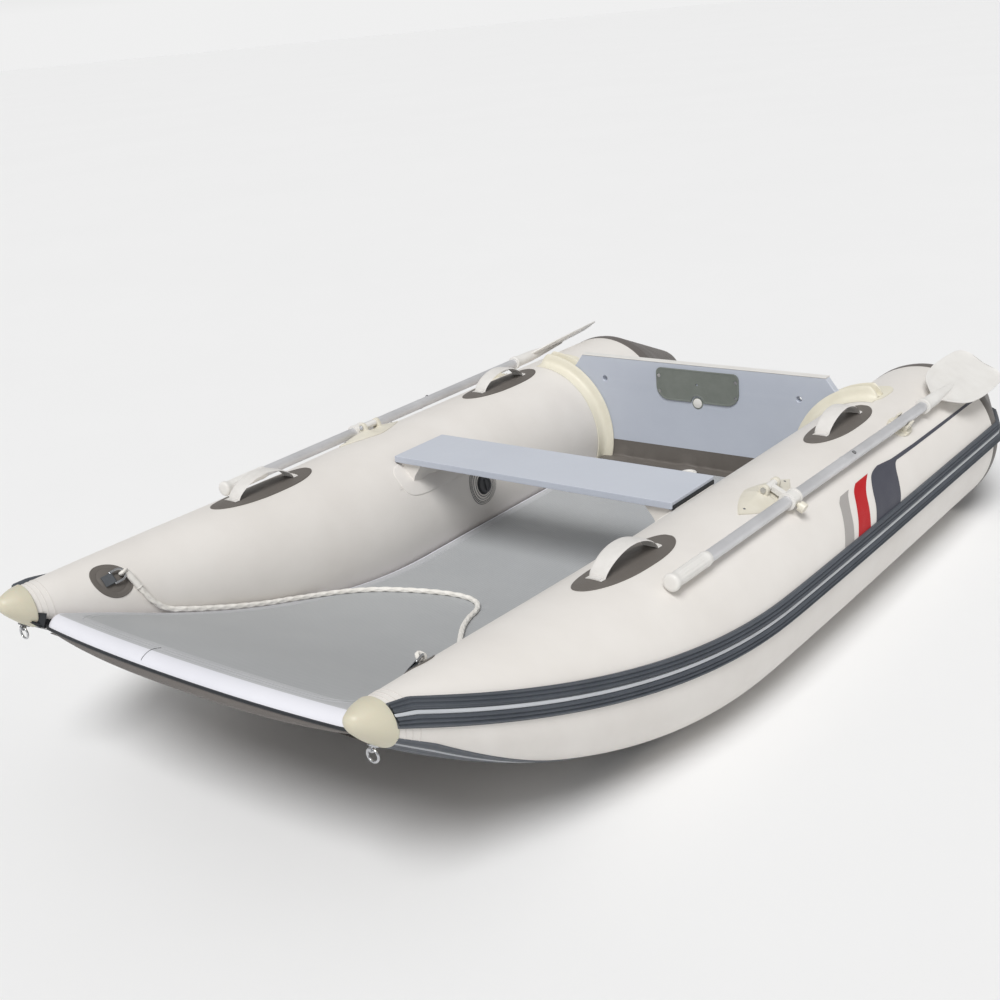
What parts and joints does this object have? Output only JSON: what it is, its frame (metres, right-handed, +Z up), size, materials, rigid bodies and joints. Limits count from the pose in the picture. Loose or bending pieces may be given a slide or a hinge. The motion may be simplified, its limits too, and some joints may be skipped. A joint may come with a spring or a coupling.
{
  "type": "inflatable dinghy",
  "caption": "Twin-tube inflatable dinghy with an air deck, transom, sliding bench, stowed folding oars and a bow rope.",
  "frame": {"origin": "on the ground under the middle of the boat's length and width", "axes": "+Z up, -Y towards the bow, +X to port"},
  "size_m": [1.6008, 2.8499, 0.4916],
  "materials": {
    "pvc_white": "satin coated fabric",
    "pvc_ivory": "satin",
    "pvc_taupe": "satin coated fabric",
    "strake_slate": "satin",
    "deck_grey": "grooved coated fabric",
    "fabric_white": "coated fabric",
    "gusset_black": "matte",
    "board_blue_grey": "painted, satin",
    "trim_white": "satin",
    "ivory_plastic": "satin",
    "plate_green_grey": "matte",
    "stainless": "polished",
    "webbing_slate": "woven webbing",
    "rope_white": "braided",
    "valve_grey": "satin",
    "white_plastic": "satin",
    "black_plastic": "matte",
    "anodised": "anodised"
  },
  "bodies": {
    "hull": {"port_tube": "pvc_white", "starboard_tube": "pvc_white", "port_nose_cap": "pvc_ivory", "starboard_nose_cap": "pvc_ivory", "port_stern_cone": "pvc_taupe", "starboard_stern_cone": "pvc_taupe", "port_rub_strake": "strake_slate", "starboard_rub_strake": "strake_slate", "keel_strips": "strake_slate", "air_deck": "deck_grey", "deck_tail_panel": "fabric_white", "bottom_skin": "pvc_taupe", "bow_gussets": "gusset_black", "transom_board": "board_blue_grey", "transom_edge_trim": "trim_white", "port_transom_holder": "ivory_plastic", "starboard_transom_holder": "ivory_plastic", "inner_motor_plate": "plate_green_grey", "outer_motor_plate": "plate_green_grey", "motor_plate_bolts": "stainless", "transom_flap": "pvc_taupe", "seat_brackets": "fabric_white", "handle_patches": "pvc_taupe", "fore_handle_straps": "fabric_white", "aft_handle_straps": "fabric_white", "ring_patches": "pvc_taupe", "ring_webbing": "webbing_slate", "bow_rings": "stainless", "bow_rope": "rope_white", "rope_knots": "rope_white", "oarlock_bases": "ivory_plastic", "oarlock_pins": "stainless", "oar_holders": "ivory_plastic", "tube_valves": "valve_grey", "deck_valve": "valve_grey", "tow_eyes": "stainless"},
    "port_oar": {"port_oar_swivel": "white_plastic", "port_swivel_knob": "ivory_plastic", "port_oar_shaft": "anodised", "port_oar_grip": "white_plastic", "port_oar_blade": "white_plastic"},
    "starboard_oar": {"starboard_oar_swivel": "white_plastic", "starboard_swivel_knob": "ivory_plastic", "starboard_oar_shaft": "anodised", "starboard_oar_grip": "white_plastic", "starboard_oar_blade": "white_plastic"},
    "port_button": {"port_oar_button": "stainless"},
    "starboard_button": {"starboard_oar_button": "stainless"},
    "port_tow_ring_body": {"port_tow_ring": "stainless"},
    "starboard_tow_ring_body": {"starboard_tow_ring": "stainless"},
    "bench": {"seat_board": "board_blue_grey", "seat_end_clips": "black_plastic"},
    "port_cap": {"port_valve_cap": "valve_grey"},
    "starboard_cap": {"starboard_valve_cap": "valve_grey"},
    "deck_cap": {"deck_valve_cap": "white_plastic"},
    "port_stem": {"port_valve_stem": "valve_grey"},
    "starboard_stem": {"starboard_valve_stem": "valve_grey"},
    "deck_stem": {"deck_valve_stem": "valve_grey"}
  },
  "joints": [
    {"name": "port_oar_fold", "type": "hinge", "parent": "hull", "child": "port_oar", "pos_m": [0.63944, -0.102, 0.4563], "axis": [0, -1, 0], "range_deg": [0, 80]},
    {"name": "starboard_oar_fold", "type": "hinge", "parent": "hull", "child": "starboard_oar", "pos_m": [-0.63944, -0.102, 0.4563], "axis": [0, 1, 0], "range_deg": [0, 80]},
    {"name": "port_button_press", "type": "slide", "parent": "port_oar", "child": "port_button", "axis": [-0.4999, 0.0079, -0.866], "range_m": [0, 0.0025], "stiffness_N_per_m": 400, "springref_m": -0.001},
    {"name": "starboard_button_press", "type": "slide", "parent": "starboard_oar", "child": "starboard_button", "axis": [0.4999, 0.0079, -0.866], "range_m": [0, 0.0025], "stiffness_N_per_m": 400, "springref_m": -0.001},
    {"name": "port_tow_ring_swing", "type": "hinge", "parent": "hull", "child": "port_tow_ring_body", "pos_m": [0.52009, -1.36829, 0.38401], "axis": [1, 0, 0], "range_deg": [-30, 30]},
    {"name": "starboard_tow_ring_swing", "type": "hinge", "parent": "hull", "child": "starboard_tow_ring_body", "pos_m": [-0.52009, -1.36829, 0.38401], "axis": [1, 0, 0], "range_deg": [-30, 30]},
    {"name": "bench_slide", "type": "slide", "parent": "hull", "child": "bench", "axis": [0, 1, 0], "range_m": [-0.04, 0.04]},
    {"name": "port_cap_turn", "type": "hinge", "parent": "hull", "child": "port_cap", "pos_m": [0.35381, 0.041, 0.26384], "axis": [-0.9816, 0, 0.1908], "range_deg": [0, 90]},
    {"name": "starboard_cap_turn", "type": "hinge", "parent": "hull", "child": "starboard_cap", "pos_m": [-0.35381, 0.041, 0.26384], "axis": [0.9816, 0, 0.1908], "range_deg": [0, 90]},
    {"name": "deck_cap_turn", "type": "hinge", "parent": "hull", "child": "deck_cap", "pos_m": [0, 0.607, 0.153], "axis": [0, 0, 1], "range_deg": [0, 90]},
    {"name": "port_stem_press", "type": "slide", "parent": "hull", "child": "port_stem", "axis": [0.9816, 0, -0.1908], "range_m": [0, 0.004], "stiffness_N_per_m": 300, "springref_m": -0.002},
    {"name": "starboard_stem_press", "type": "slide", "parent": "hull", "child": "starboard_stem", "axis": [-0.9816, 0, -0.1908], "range_m": [0, 0.004], "stiffness_N_per_m": 300, "springref_m": -0.002},
    {"name": "deck_stem_press", "type": "slide", "parent": "hull", "child": "deck_stem", "axis": [0, 0, -1], "range_m": [0, 0.004], "stiffness_N_per_m": 300, "springref_m": -0.002}
  ]
}
